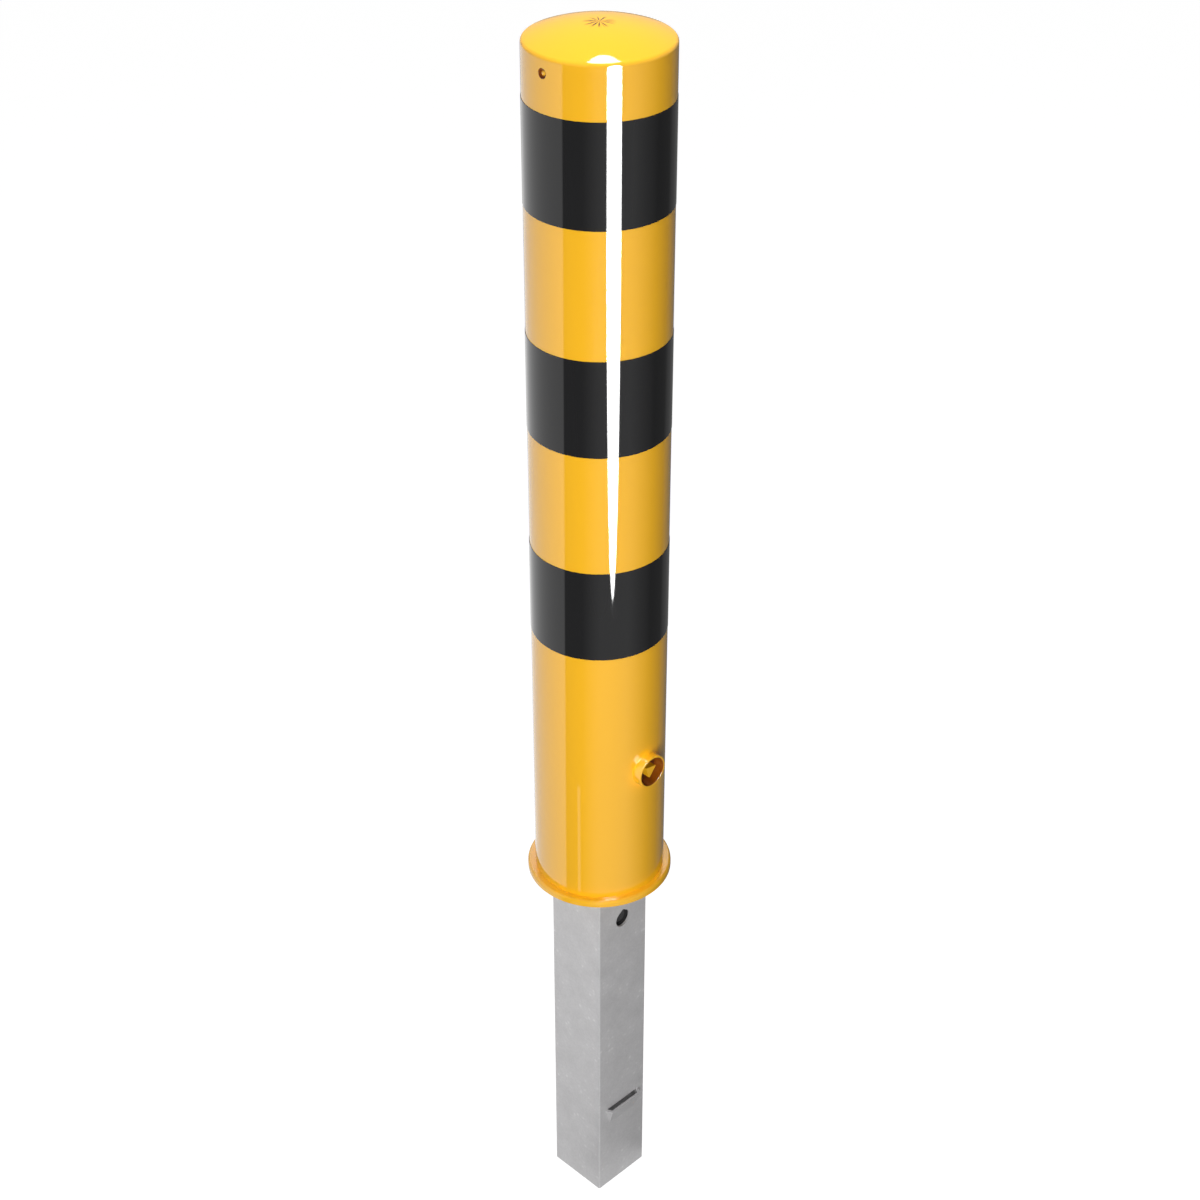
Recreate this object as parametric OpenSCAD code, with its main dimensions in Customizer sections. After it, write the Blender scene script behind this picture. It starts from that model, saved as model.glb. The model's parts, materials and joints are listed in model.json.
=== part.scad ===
// Removable barrier post with a triangular-key lock, standing in its ground socket.
// +Z is up, z = 0 is the foot of the ground socket, and the lock faces -Y.

/* [Post tube] */
// Outside diameter of the round post tube
post_d = 152; // [146:1:164]
// Wall of the round post tube
post_wall = 3.2; // [2.6:0.1:5]
// Height of the tube's top edge above ground level
post_h = 1005; // [975:5:1300]

/* [Dished cap] */
// Rise of the dished cap above the tube's edge
cap_rise = 19; // [14:0.5:30]
// Outside radius of the turned-down edge of the cap
cap_knuckle_r = 5; // [4:0.5:9]
// Sheet thickness of the cap
cap_t = 3; // [2:0.5:3.5]

/* [Foot flange] */
// Outside diameter of the foot flange
flange_d = 170; // [166:1:200]
// Thickness of the foot flange
flange_t = 8; // [5:0.5:12]
// Radius round the flange's upper edge
flange_edge_r = 3.5; // [1:0.5:4.5]
// Chamfer round the flange's lower edge
flange_chamfer = 0.4; // [0.2:0.1:0.5]

/* [Warning bands] */
// Width of each black band
band_w = 110; // [60:5:120]
// Yellow gap between two bands
band_gap = 140; // [80:5:150]
// Yellow margin above the top band
band_margin = 52.5; // [30:2.5:60]
// Thickness of the band film
band_t = 0.35; // [0.2:0.05:0.8]
// Thickness of the adhesive under the film
glue_t = 0.02; // [0.01:0.01:0.1]

/* [Vent hole and plug] */
// Diameter of the vent hole
vent_d = 10; // [8:0.5:12]
// Distance of the vent hole's centre below the tube's top edge
vent_drop = 13; // [10:1:20]
// Length of the plug's shank
plug_len = 5; // [3:0.5:9]
// Distance of the plug's flat ring behind the post's surface
plug_inset = 2.6; // [1:0.1:3]
// Diameter of the plug's domed nose
plug_nose_d = 6; // [4:0.2:6.6]
// Height of the plug's domed nose
plug_nose_h = 1.8; // [0.6:0.1:1.9]

/* [Ground socket] */
// Outside width of the square socket
socket_side = 80; // [80:1:88]
// Wall of the socket
socket_wall = 3; // [2:0.5:3]
// Outside corner radius of the socket
socket_corner_r = 2; // [1:0.5:4]
// Length of the socket below ground level
socket_len = 500; // [450:10:700]

/* [Anchor gills] */
// Width of a gill along its cut edge
gill_w = 58; // [48:1:64]
// Width of a gill along its foot
gill_foot_w = 42; // [30:1:46]
// Height of a gill from its foot to its cut edge
gill_h = 27; // [20:1:32]
// Distance the cut edge stands out from the socket's face
gill_out = 9; // [6:0.5:10]
// Run of each end of the cut edge from the socket's face to its full height
gill_end_run = 4; // [2:0.5:8]
// Depth of the cut edge below ground level
gill_depth = 367; // [200:1:400]

/* [Spigot] */
// Play between the spigot and the socket on each side
spigot_play = 2; // [1:0.25:2.5]
// Wall of the spigot
spigot_wall = 4; // [3:0.5:4.5]
// Outside corner radius of the spigot
spigot_corner_r = 4.5; // [4.5:0.5:8]
// Length of the spigot below ground level
spigot_depth = 350; // [200:10:440]
// Height of the spigot's top end above ground level
spigot_rise = 60; // [40:2:90]
// Thickness of the brace plate on the spigot's top end
brace_t = 5; // [3:0.5:8]

/* [Lock housing] */
// Height of the lock's axis above ground level
lock_h = 179; // [150:1:200]
// Outside diameter of the lock barrel
barrel_d = 40; // [38:1:44]
// Wall of the lock barrel
barrel_wall = 2.5; // [2:0.5:3]
// Distance the barrel stands out from the post's surface
barrel_out = 9; // [6:0.5:15]
// Depth of the recess in front of the spindle bush
recess_depth = 14; // [10:1:20]
// Thickness of the bush's rear flange
bush_flange_t = 4; // [3:0.5:6]

/* [Key spindle] */
// Side of the triangular key head
key_side = 17; // [14:0.5:18]
// Radius on the three edges of the key head
key_edge_r = 0.8; // [0.5:0.1:1.5]
// Distance of the key head's face behind the barrel's rim
key_inset = 3.5; // [1:0.5:6]
// Angle that the unlocked key head stands turned from one corner straight down
key_rest_angle = 10; // [0:1:30]
// Diameter of the spindle's shaft
shaft_d = 14; // [13:0.5:14]
// Width across the square that carries the cam plate
drive_af = 9; // [8:0.5:9]

/* [Cam plate] */
// Thickness of the cam plate
cam_t = 6; // [4:0.5:8]
// Smallest distance of the follower pin from the spindle's axis
cam_r = 14; // [13:0.5:18]
// Distance that half a turn of the key moves the rod and the bolt
travel = 6; // [4:0.5:6]
// Width of metal outside the spiral slot
cam_rim = 6; // [4:0.5:8]
// Gap between the cam plate and the lock rod
cam_gap = 2; // [1:0.5:2.5]
// Thickness of the two washers
washer_t = 1.6; // [1:0.2:2]

/* [Cam screw] */
// Diameter of the screw's thread
screw_d = 6; // [4:1:6]
// Diameter of the screw's head
screw_head_d = 10; // [8:0.5:11]
// Height of the screw's head
screw_head_h = 4; // [3:0.5:5]
// Length of thread in the spindle
screw_grip = 16; // [10:1:20]

/* [Lock rod] */
// Diameter of the lock rod
rod_d = 12; // [11:0.5:14]
// Diameter of the follower pin
follower_d = 6; // [5:0.5:7]
// Length of rod above the follower pin
rod_end = 3; // [2:0.5:3]
// Thickness of the rod guide
rod_guide_t = 5; // [3:0.5:8]
// Height of the rod guide above the latch bolt's axis
rod_guide_h = 34; // [30:1:60]

/* [Wedge plate] */
// Thickness of the wedge plate
wedge_t = 6; // [4:0.5:7]
// Width of metal round the slanted slot
wedge_rim = 4; // [3:0.5:4]
// Width of the tab that is let into the rod
wedge_tab_w = 9; // [6:0.5:9]
// Height of the tab that is let into the rod
wedge_tab_h = 16; // [12:1:24]

/* [Latch bolt] */
// Depth of the bolt's axis below ground level
latch_depth = 65; // [60:1:90]
// Diameter of the latch bolt
bolt_d = 20; // [16:0.5:20]
// Length of the latch bolt
bolt_len = 38; // [37:1:44]
// Distance of the bolt's tip behind the spigot's face when unlocked
bolt_inset = 1; // [0.5:0.5:2]
// Chamfer round the bolt's tip
bolt_chamfer = 1.5; // [0.5:0.5:3]
// Wall of the bolt guide
bolt_guide_wall = 4; // [3:0.5:5]
// Length of the bolt guide
bolt_guide_len = 11; // [8:0.5:11]
// Gap between the bolt and what stands across its path
bolt_gap = 0.5; // [0.3:0.1:0.8]
// Gap between the latch bolt and the rod's lower end
rod_lift_gap = 2; // [1:0.5:4]
// Diameter of the cross pin through the bolt
cross_pin_d = 6; // [5:0.5:6]
// Diameter of the round part of the socket's latch hole
latch_hole_d = 23; // [21.5:0.5:28]
// Height of the latch hole's pointed top above its centre
latch_hole_peak = 14; // [14:0.5:20]

/* [Fits] */
// Radial clearance of a shaft that turns or slides in its bore
run_fit = 0.05; // [0.02:0.01:0.1]
// Clearance on each side of a pin in its slot
slot_fit = 0.3; // [0.25:0.05:0.4]
// Gap between two flat faces of the lock that turn or slide on each other
face_fit = 0.2; // [0.1:0.05:0.3]
// Clearance between a part and the hole or tube it is set into
set_fit = 0.05; // [0.02:0.01:0.1]

/* [Hidden] */
$fn = 96;
// Overshoot of a cutting body past the face that it cuts
cut = 1;

yellow = "#fdbe32";
film_black = "#2b2b2d";
galvanised = "#b4b4b6";
primer_black = "#2f2f30";
phosphate_grey = "#4a4a4b";
zinc_plate = "#c9ccd0";
bronze = "#b08d57";

// Heights
ground_z = socket_len;
post_top_z = ground_z + post_h;
lock_z = ground_z + lock_h;
latch_z = ground_z - latch_depth;
gill_z = ground_z - gill_depth;
spigot_top_z = ground_z + spigot_rise;

// Post and cap
post_r = post_d / 2;
post_bore_r = post_r - post_wall;
knuckle_x = post_r - cap_knuckle_r;
crown_r = (pow(knuckle_x, 2) + pow(cap_rise, 2) - pow(cap_knuckle_r, 2))
          / (2 * (cap_rise - cap_knuckle_r));

// Square tubes
socket_bore = socket_side - 2 * socket_wall;
spigot_side = socket_bore - 2 * spigot_play;
spigot_bore = spigot_side - 2 * spigot_wall;
spigot_face_y = -spigot_side / 2;

// Wedge plate, rod and bolt, from the front wall of the spigot to the rod's axis
slant_half = travel / 2;
slot_d = cross_pin_d + 2 * slot_fit;
wedge_half = slant_half + slot_d / 2 + wedge_rim;
bolt_guide_back_y = -spigot_bore / 2 + bolt_guide_len;
rod_y = bolt_guide_back_y + bolt_gap + wedge_half;
bolt_tip_y = spigot_face_y + bolt_inset;
cross_pin_y = rod_y + slant_half;
slant_z = latch_z - slant_half;
rod_bottom_z = latch_z + bolt_d / 2 + rod_lift_gap;

// Cam, spindle and barrel, from the rod out to the barrel's rim
follower_r0 = cam_r + travel;
follower_z = lock_z - follower_r0;
cam_slot_w = follower_d + 2 * slot_fit;
cam_outer_r = follower_r0 + cam_slot_w / 2 + cam_rim;
cam_back_y = rod_y - rod_d / 2 - cam_gap;
cam_front_y = cam_back_y - cam_t;
bush_back_y = cam_front_y - washer_t - 2 * face_fit;
barrel_back_y = bush_back_y - bush_flange_t;
rim_y = -post_r - barrel_out;
barrel_bore_r = barrel_d / 2 - barrel_wall;
bush_front_y = rim_y + recess_depth;
key_face_y = rim_y + key_inset;
washer_r = cam_r - follower_d / 2 - 2 * slot_fit;

// Lean of a gill's ends, outwards and down to its foot
gill_yaw = atan(gill_end_run / gill_out);
gill_tilt = atan((gill_w - gill_foot_w) / 2 * cos(gill_yaw) / gill_h);

// Point on a circle of radius r, at an angle from +X
function polar(r, a) = [r * cos(a), r * sin(a)];

// Square outline with rounded corners
module rounded_square(side, r) {
    flat = side - 2 * r;
    square([side, flat], center = true);
    square([flat, side], center = true);
    for (x = [-1, 1], y = [-1, 1])
        translate([x * flat / 2, y * flat / 2]) circle(r);
}

module spigot_bore_outline() {
    rounded_square(spigot_bore, spigot_corner_r - spigot_wall + 0.001);
}

// Cylinder along Y from y0 to y1, its axis at height z
module y_rod(r, y0, y1, z) {
    translate([0, y1, z]) rotate([90, 0, 0]) cylinder(r = r, h = y1 - y0);
}

// Plate in the XZ plane from y0 to y1, its outline drawn about height z
module y_plate(y0, y1, z) {
    translate([0, y1, z]) rotate([90, 0, 0]) linear_extrude(y1 - y0) children();
}

// Half section of a dished end, solid below its crown and knuckle arcs
module dish_section(r, knuckle, crown, rise) {
    tangent_x = (r - knuckle) * crown / (crown - knuckle);
    intersection() {
        translate([0, rise - crown]) circle(crown, $fn = 360);
        square([tangent_x, rise]);
    }
    intersection() {
        translate([r - knuckle, 0]) circle(knuckle);
        translate([r - knuckle, 0]) square(knuckle);
    }
}

// Round hole whose top runs up to a point, on tangents to the circle
module drop_outline(d, peak) {
    r = d / 2;
    turn = acos(r / peak);
    circle(d = d);
    polygon([polar(r, 90 - turn), [0, peak], polar(r, 90 + turn), [0, 0]]);
}

// Space beyond the right end of a gill
module gill_end(skin) {
    reach = 2 * gill_w;
    translate([gill_w / 2, -socket_side / 2, gill_z]) rotate([0, gill_tilt, -gill_yaw])
        translate([-skin, -reach / 2, -reach / 2]) cube(reach);
}

// Lip that is pressed out below a gill's cut edge, less a skin of this thickness
module gill_lip(skin) {
    face_y = -socket_side / 2 + skin;
    back_y = -socket_bore / 2 + skin;
    difference() {
        translate([-gill_w / 2, 0, gill_z]) rotate([90, 0, 90]) linear_extrude(gill_w) polygon([
            [back_y, 0], [face_y - gill_out, 0], [face_y, -gill_h], [back_y, -gill_h]
        ]);
        gill_end(skin);
        mirror([1, 0, 0]) gill_end(skin);
    }
}

// Front and rear copies of what its children draw on the front of the socket
module front_and_back() {
    children();
    rotate([0, 0, 180]) children();
}

module ground_socket() {
    color(galvanised) difference() {
        union() {
            linear_extrude(socket_len) rounded_square(socket_side, socket_corner_r);
            front_and_back() gill_lip(0);
        }
        translate([0, 0, -cut]) linear_extrude(socket_len + 2 * cut)
            square(socket_bore, center = true);
        front_and_back() gill_lip(socket_wall);
        y_plate(-socket_side / 2 - cut, -socket_bore / 2 + cut, latch_z)
            drop_outline(latch_hole_d, latch_hole_peak);
    }
}

module post_tube() {
    tube_z = ground_z + flange_t;
    color(yellow) difference() {
        translate([0, 0, tube_z]) cylinder(r = post_r, h = post_top_z - tube_z);
        translate([0, 0, tube_z - cut])
            cylinder(r = post_bore_r, h = post_top_z - tube_z + 2 * cut);
        y_rod(barrel_d / 2 + set_fit, -post_r - cut, 0, lock_z);
        translate([-post_r - cut, 0, post_top_z - vent_drop]) rotate([0, 90, 0])
            cylinder(d = vent_d, h = post_r);
    }
}

module dished_cap() {
    color(yellow) translate([0, 0, post_top_z]) rotate_extrude() difference() {
        dish_section(post_r, cap_knuckle_r, crown_r, cap_rise);
        dish_section(post_r - cap_t, cap_knuckle_r - cap_t, crown_r - cap_t, cap_rise - cap_t);
    }
}

module foot_flange() {
    r = flange_d / 2;
    edge_x = r - flange_edge_r;
    edge_z = flange_t - flange_edge_r;
    color(yellow) translate([0, 0, ground_z]) difference() {
        rotate_extrude() {
            polygon([
                [0, 0], [r - flange_chamfer, 0], [r, flange_chamfer],
                [r, edge_z], [edge_x, flange_t], [0, flange_t]
            ]);
            intersection() {
                translate([edge_x, edge_z]) circle(flange_edge_r);
                translate([edge_x, edge_z]) square(flange_edge_r);
            }
        }
        translate([0, 0, -cut]) linear_extrude(flange_t + 2 * cut)
            rounded_square(spigot_side, spigot_corner_r);
    }
}

module spigot() {
    z0 = ground_z - spigot_depth;
    color(primer_black) difference() {
        translate([0, 0, z0]) linear_extrude(spigot_top_z - z0)
            rounded_square(spigot_side, spigot_corner_r);
        translate([0, 0, z0 - cut]) linear_extrude(spigot_top_z - z0 + 2 * cut)
            spigot_bore_outline();
        y_rod(bolt_d / 2 + slot_fit, spigot_face_y - cut, 0, latch_z);
    }
}

module brace_plate() {
    color(primer_black) translate([0, 0, spigot_top_z]) difference() {
        cylinder(r = post_bore_r - set_fit, h = brace_t);
        translate([0, rod_y, -cut]) cylinder(r = rod_d / 2 + run_fit, h = brace_t + 2 * cut);
    }
}

// One band, counted from the top of the post
module band(index) {
    z = post_top_z - band_margin - index * (band_w + band_gap) - band_w;
    color(film_black) translate([0, 0, z]) difference() {
        cylinder(r = post_r + glue_t + band_t, h = band_w);
        translate([0, 0, -cut]) cylinder(r = post_r + glue_t, h = band_w + 2 * cut);
    }
}

module band_top() { band(0); }
module band_middle() { band(1); }
module band_bottom() { band(2); }

module vent_plug() {
    nose_r = plug_nose_d / 2;
    dome_r = (pow(nose_r, 2) + pow(plug_nose_h, 2)) / (2 * plug_nose_h);
    color(yellow) translate([-post_r + plug_inset, 0, post_top_z - vent_drop])
        rotate([0, -90, 0]) rotate_extrude() {
            translate([0, -plug_len]) square([vent_d / 2 - set_fit, plug_len]);
            intersection() {
                translate([0, plug_nose_h - dome_r]) circle(dome_r);
                square([nose_r, plug_nose_h]);
            }
        }
}

module lock_barrel() {
    color(yellow) difference() {
        y_rod(barrel_d / 2, rim_y, barrel_back_y, lock_z);
        y_rod(barrel_bore_r, rim_y - cut, barrel_back_y + cut, lock_z);
    }
}

module spindle_bush() {
    color(bronze) difference() {
        union() {
            y_rod(barrel_bore_r - set_fit, bush_front_y, bush_back_y, lock_z);
            y_rod(barrel_d / 2, barrel_back_y, bush_back_y, lock_z);
        }
        y_rod(shaft_d / 2 + run_fit, bush_front_y - cut, bush_back_y + cut, lock_z);
    }
}

module bolt_guide() {
    bore_r = bolt_d / 2 + run_fit;
    color(primer_black) difference() {
        y_rod(bore_r + bolt_guide_wall, -spigot_bore / 2, bolt_guide_back_y, latch_z);
        y_rod(bore_r, -spigot_bore / 2 - cut, bolt_guide_back_y + cut, latch_z);
    }
}

module rod_guide() {
    color(primer_black) translate([0, 0, latch_z + rod_guide_h]) difference() {
        linear_extrude(rod_guide_t) spigot_bore_outline();
        translate([0, rod_y, -cut])
            cylinder(r = rod_d / 2 + run_fit, h = rod_guide_t + 2 * cut);
    }
}

// Triangle with one corner down and its three edges rounded
module key_outline() {
    corner = key_side / sqrt(3) - 2 * key_edge_r;
    polygon([
        for (a = [30, 150, 270], side = [-60, 60])
            polar(corner, a) + polar(key_edge_r, a + side)
    ]);
    for (a = [30, 150, 270])
        translate(polar(corner, a)) circle(key_edge_r);
}

module key_spindle() {
    square_end_y = cam_back_y - face_fit;
    color(yellow) difference() {
        union() {
            y_plate(key_face_y, bush_front_y - face_fit, lock_z)
                rotate(-key_rest_angle) key_outline();
            y_rod(shaft_d / 2, bush_front_y - face_fit, cam_front_y, lock_z);
            y_plate(cam_front_y, square_end_y, lock_z) square(drive_af, center = true);
        }
        y_rod(screw_d / 2, square_end_y - screw_grip, square_end_y + cut, lock_z);
    }
}

module thrust_washer() {
    color(zinc_plate) difference() {
        y_rod(barrel_bore_r, bush_back_y + face_fit, cam_front_y - face_fit, lock_z);
        y_rod(shaft_d / 2 + set_fit, bush_back_y, cam_front_y, lock_z);
    }
}

// Spiral slot: half a turn brings the follower pin in from the rim by the travel
module spiral_slot() {
    function spiral(turn, side) = let (r = follower_r0 - travel * turn / 180 + side)
        [r * sin(turn), -r * cos(turn)];
    step = 5;
    polygon([
        for (turn = [0:step:180]) spiral(turn, cam_slot_w / 2),
        for (turn = [180:-step:0]) spiral(turn, -cam_slot_w / 2)
    ]);
    for (turn = [0, 180])
        translate(spiral(turn, 0)) circle(d = cam_slot_w);
}

module cam_plate() {
    color(zinc_plate) y_plate(cam_front_y, cam_back_y, lock_z) difference() {
        circle(cam_outer_r);
        square(drive_af + 2 * set_fit, center = true);
        spiral_slot();
    }
}

module cam_washer() {
    color(zinc_plate) difference() {
        y_rod(washer_r, cam_back_y, cam_back_y + washer_t, lock_z);
        y_rod(screw_d / 2 + set_fit, cam_back_y - cut, cam_back_y + washer_t + cut, lock_z);
    }
}

module cam_screw() {
    seat_y = cam_back_y + washer_t;
    color(zinc_plate) {
        y_rod(screw_d / 2 - set_fit, cam_back_y - screw_grip, seat_y, lock_z);
        difference() {
            y_rod(screw_head_d / 2, seat_y, seat_y + screw_head_h, lock_z);
            y_plate(seat_y + screw_head_h / 2, seat_y + screw_head_h + cut, lock_z)
                circle(d = screw_head_d / 2, $fn = 6);
        }
    }
}

module lock_rod() {
    top_z = follower_z + follower_d / 2 + rod_end;
    color(zinc_plate) difference() {
        translate([0, rod_y, rod_bottom_z]) cylinder(d = rod_d, h = top_z - rod_bottom_z);
        translate([-wedge_t / 2, rod_y - rod_d, rod_bottom_z - cut])
            cube([wedge_t, 2 * rod_d, wedge_tab_h + cut]);
        y_rod(follower_d / 2 + set_fit, rod_y - rod_d, rod_y + rod_d, follower_z);
    }
}

module follower_pin() {
    color(zinc_plate)
        y_rod(follower_d / 2, cam_front_y + face_fit, rod_y + rod_d / 2, follower_z);
}

// Slot at 45 degrees, so that the bolt moves out as far as the plate moves up
module slanted_slot() {
    run = slant_half * sqrt(2);
    rotate(45) {
        square([2 * run, slot_d], center = true);
        for (end = [-run, run])
            translate([end, 0]) circle(d = slot_d);
    }
}

module wedge_plate() {
    shoulder = rod_bottom_z - slant_z;
    tab_half = wedge_tab_w / 2;
    tab_top = shoulder + wedge_tab_h;
    color(phosphate_grey) translate([-wedge_t / 2, rod_y, slant_z])
        rotate([90, 0, 90]) linear_extrude(wedge_t) difference() {
            polygon([
                [-wedge_half, -wedge_half], [wedge_half, -wedge_half],
                [wedge_half, shoulder], [tab_half, shoulder], [tab_half, tab_top],
                [-tab_half, tab_top], [-tab_half, shoulder], [-wedge_half, shoulder]
            ]);
            slanted_slot();
        }
}

module latch_bolt() {
    r = bolt_d / 2;
    slot_w = wedge_t + 2 * slot_fit;
    fork_y = bolt_guide_back_y;
    color(phosphate_grey) difference() {
        translate([0, bolt_tip_y, latch_z]) rotate([-90, 0, 0]) rotate_extrude() polygon([
            [0, 0], [r - bolt_chamfer, 0], [r, bolt_chamfer], [r, bolt_len], [0, bolt_len]
        ]);
        translate([-slot_w / 2, fork_y, latch_z - bolt_d])
            cube([slot_w, bolt_len, 2 * bolt_d]);
        translate([-bolt_d, cross_pin_y, latch_z]) rotate([0, 90, 0])
            cylinder(d = cross_pin_d, h = 2 * bolt_d);
    }
}

module cross_pin() {
    len = bolt_d - 2 * bolt_gap;
    color(phosphate_grey) translate([-len / 2, cross_pin_y, latch_z]) rotate([0, 90, 0])
        cylinder(r = cross_pin_d / 2 - set_fit, h = len);
}

ground_socket();
post_tube();
dished_cap();
foot_flange();
spigot();
brace_plate();
band_top();
band_middle();
band_bottom();
vent_plug();
lock_barrel();
spindle_bush();
bolt_guide();
rod_guide();
key_spindle();
thrust_washer();
cam_plate();
cam_washer();
cam_screw();
lock_rod();
follower_pin();
wedge_plate();
latch_bolt();
cross_pin();
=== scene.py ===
# %% [markdown]
# # A removable barrier post in its ground socket
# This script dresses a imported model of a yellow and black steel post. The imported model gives
# every piece its size and place, in metres, with +Z up and the lock on the -Y side. Each cell
# adds one thing: the camera, a finish, a smoother surface for a glossy piece, or a part of the
# studio light that the gloss mirrors.

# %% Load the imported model
import json
import math

import bmesh
import bpy
import numpy as np
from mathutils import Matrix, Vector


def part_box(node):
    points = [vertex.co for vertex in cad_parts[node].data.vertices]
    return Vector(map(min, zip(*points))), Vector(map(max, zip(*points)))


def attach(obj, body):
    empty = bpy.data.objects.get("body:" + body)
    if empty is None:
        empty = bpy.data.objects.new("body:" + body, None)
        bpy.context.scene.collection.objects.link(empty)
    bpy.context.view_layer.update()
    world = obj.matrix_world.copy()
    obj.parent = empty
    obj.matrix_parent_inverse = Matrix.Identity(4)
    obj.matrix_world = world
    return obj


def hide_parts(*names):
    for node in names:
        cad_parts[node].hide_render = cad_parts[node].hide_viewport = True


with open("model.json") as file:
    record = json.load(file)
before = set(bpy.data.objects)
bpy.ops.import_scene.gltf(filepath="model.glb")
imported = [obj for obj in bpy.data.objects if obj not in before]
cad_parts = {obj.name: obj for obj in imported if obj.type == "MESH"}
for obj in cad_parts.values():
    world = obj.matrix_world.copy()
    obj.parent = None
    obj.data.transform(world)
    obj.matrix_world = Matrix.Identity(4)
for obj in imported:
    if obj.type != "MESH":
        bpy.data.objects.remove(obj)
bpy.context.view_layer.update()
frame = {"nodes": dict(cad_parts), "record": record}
nodes = frame["nodes"]
MM = 0.001

# %% [markdown]
# ## Where everything is
# Nothing is placed twice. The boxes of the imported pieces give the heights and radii, so the
# surfaces made below land on them. Only walls, bores and edge radii, which a box doesn't show,
# are written out here.

# %% Sizes of the pieces
def box_of(node):
    """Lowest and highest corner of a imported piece, as two arrays in metres."""
    low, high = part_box(node)
    return np.array(low), np.array(high)


socket_high = box_of("ground_socket")[1]
flange_low, flange_high = box_of("foot_flange")
barrel_low, barrel_high = box_of("lock_barrel")
plug_low, plug_high = box_of("vent_plug")
cap_low, cap_high = box_of("dished_cap")

GROUND_Z = socket_high[2]
POST_R, POST_WALL = 76 * MM, 3.2 * MM
TUBE_BOTTOM_Z, TUBE_TOP_Z = flange_high[2], cap_low[2]
LOCK_Z = (barrel_low[2] + barrel_high[2]) / 2
BARREL_R, BARREL_WALL, BARREL_FIT = 20 * MM, 2.5 * MM, 0.05 * MM
PLUG_Z = (plug_low[2] + plug_high[2]) / 2
PLUG_HOLE_R = 5 * MM
print("ground level is", round(GROUND_Z, 3), "m above the socket's foot, the tube ends at",
      round(TUBE_TOP_Z, 3), "m")

# %% [markdown]
# ## Camera
# The picture looks down on the post from above head height, along the diagonal between the
# lock's side and the vent's side. Distance, height, tilt and lens were found by fitting the
# edges of the bands, the tube and the socket to the picture.

# %% Camera
SENSOR = 36.0
FRAME_PX = 1200
FOCAL_PX = 2247.43
CAMERA_SIDE = math.radians(-45)
CAMERA_DISTANCE = 2.08287
CAMERA_ABOVE_GROUND = 1.72103
CAMERA_TILT_DOWN = math.radians(32.9454)
AXIS_PX = 599.38


def around(side, distance, height):
    """Point at this distance from the post's axis. side is an angle in degrees, counted from
    the camera's side towards the right of the picture."""
    turn = CAMERA_SIDE + math.radians(side)
    return (distance * math.sin(turn), -distance * math.cos(turn), height)


camera_data = bpy.data.cameras.new("view_camera")
camera_data.sensor_width = SENSOR
camera_data.lens = SENSOR * FOCAL_PX / FRAME_PX
camera_data.shift_x = (FRAME_PX / 2 - AXIS_PX) / FRAME_PX
camera_data.clip_end = 50
camera = bpy.data.objects.new("view_camera", camera_data)
camera.location = around(0, CAMERA_DISTANCE, GROUND_Z + CAMERA_ABOVE_GROUND)
camera.rotation_euler = (math.pi / 2 - CAMERA_TILT_DOWN, 0, CAMERA_SIDE)
scene = bpy.context.scene
scene.collection.objects.link(camera)
scene.camera = camera
scene.view_settings.view_transform = "Standard"
print("lens", round(camera_data.lens, 2), "mm")

# %% [markdown]
# ## Helpers for colours and nodes
# Colours are written as the hex values that a paint chart or a picture editor shows. The
# renderer works with linear light, so one function converts them.

# %% Colour and node helpers
def linear(hex_colour):
    """sRGB hex to linear RGBA: c / 12.92 below 0.04045, else ((c + 0.055) / 1.055) ** 2.4."""
    values = [int(hex_colour[i:i + 2], 16) / 255 for i in (1, 3, 5)]
    rgb = [v / 12.92 if v <= 0.04045 else ((v + 0.055) / 1.055) ** 2.4 for v in values]
    return (*rgb, 1.0)


def new_material(name):
    """A material with an empty node tree, and that tree."""
    material = bpy.data.materials.new(name)
    material.use_nodes = True
    tree = material.node_tree
    tree.nodes.clear()
    return material, tree


def add_node(tree, kind, settings=None, inputs=None, links=None):
    """Adds one node. settings are its attributes, inputs its plain socket values, and links
    join a socket of another node to one of its own."""
    node = tree.nodes.new(kind)
    for name, value in (settings or {}).items():
        setattr(node, name, value)
    for name, value in (inputs or {}).items():
        node.inputs[name].default_value = value
    for name, socket in (links or {}).items():
        tree.links.new(socket, node.inputs[name])
    return node

# %% [markdown]
# ## Powder coat
# Tube, cap, flange and lock share one coat: polyester powder, sprayed dry and baked, so that it
# melts and levels to a gloss. Only the flange is taken as a little rougher. The coat is a
# coloured layer under its own clear skin of resin, so it shows its colour evenly and mirrors
# lamps with sharp edges. A trace of orange peel is left, a few millimetres across and far too
# shallow to blur anything.
#
# A small star of fine dark lines at the cap's centre is painted shade: the dish is smooth there,
# and the lines copy dark shading round its centre. The star is worked out from the
# angle round the axis: stripes of noise along the angle, faded out with the distance.

# %% Yellow powder coat
YELLOW = "#fbbb1c"
STAR_SHADE_BROWN = "#3a1a00"
STAR_R = 17 * MM


def orange_peel(tree, coords, size, strength):
    """Bump of soft noise whose cells are about this wide."""
    peel = add_node(tree, "ShaderNodeTexNoise", inputs={"Scale": 1 / size, "Detail": 2.0},
                    links={"Vector": coords.outputs["Object"]})
    return add_node(tree, "ShaderNodeBump", inputs={"Strength": strength, "Distance": 0.05 * MM},
                    links={"Height": peel.outputs["Fac"]})


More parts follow.
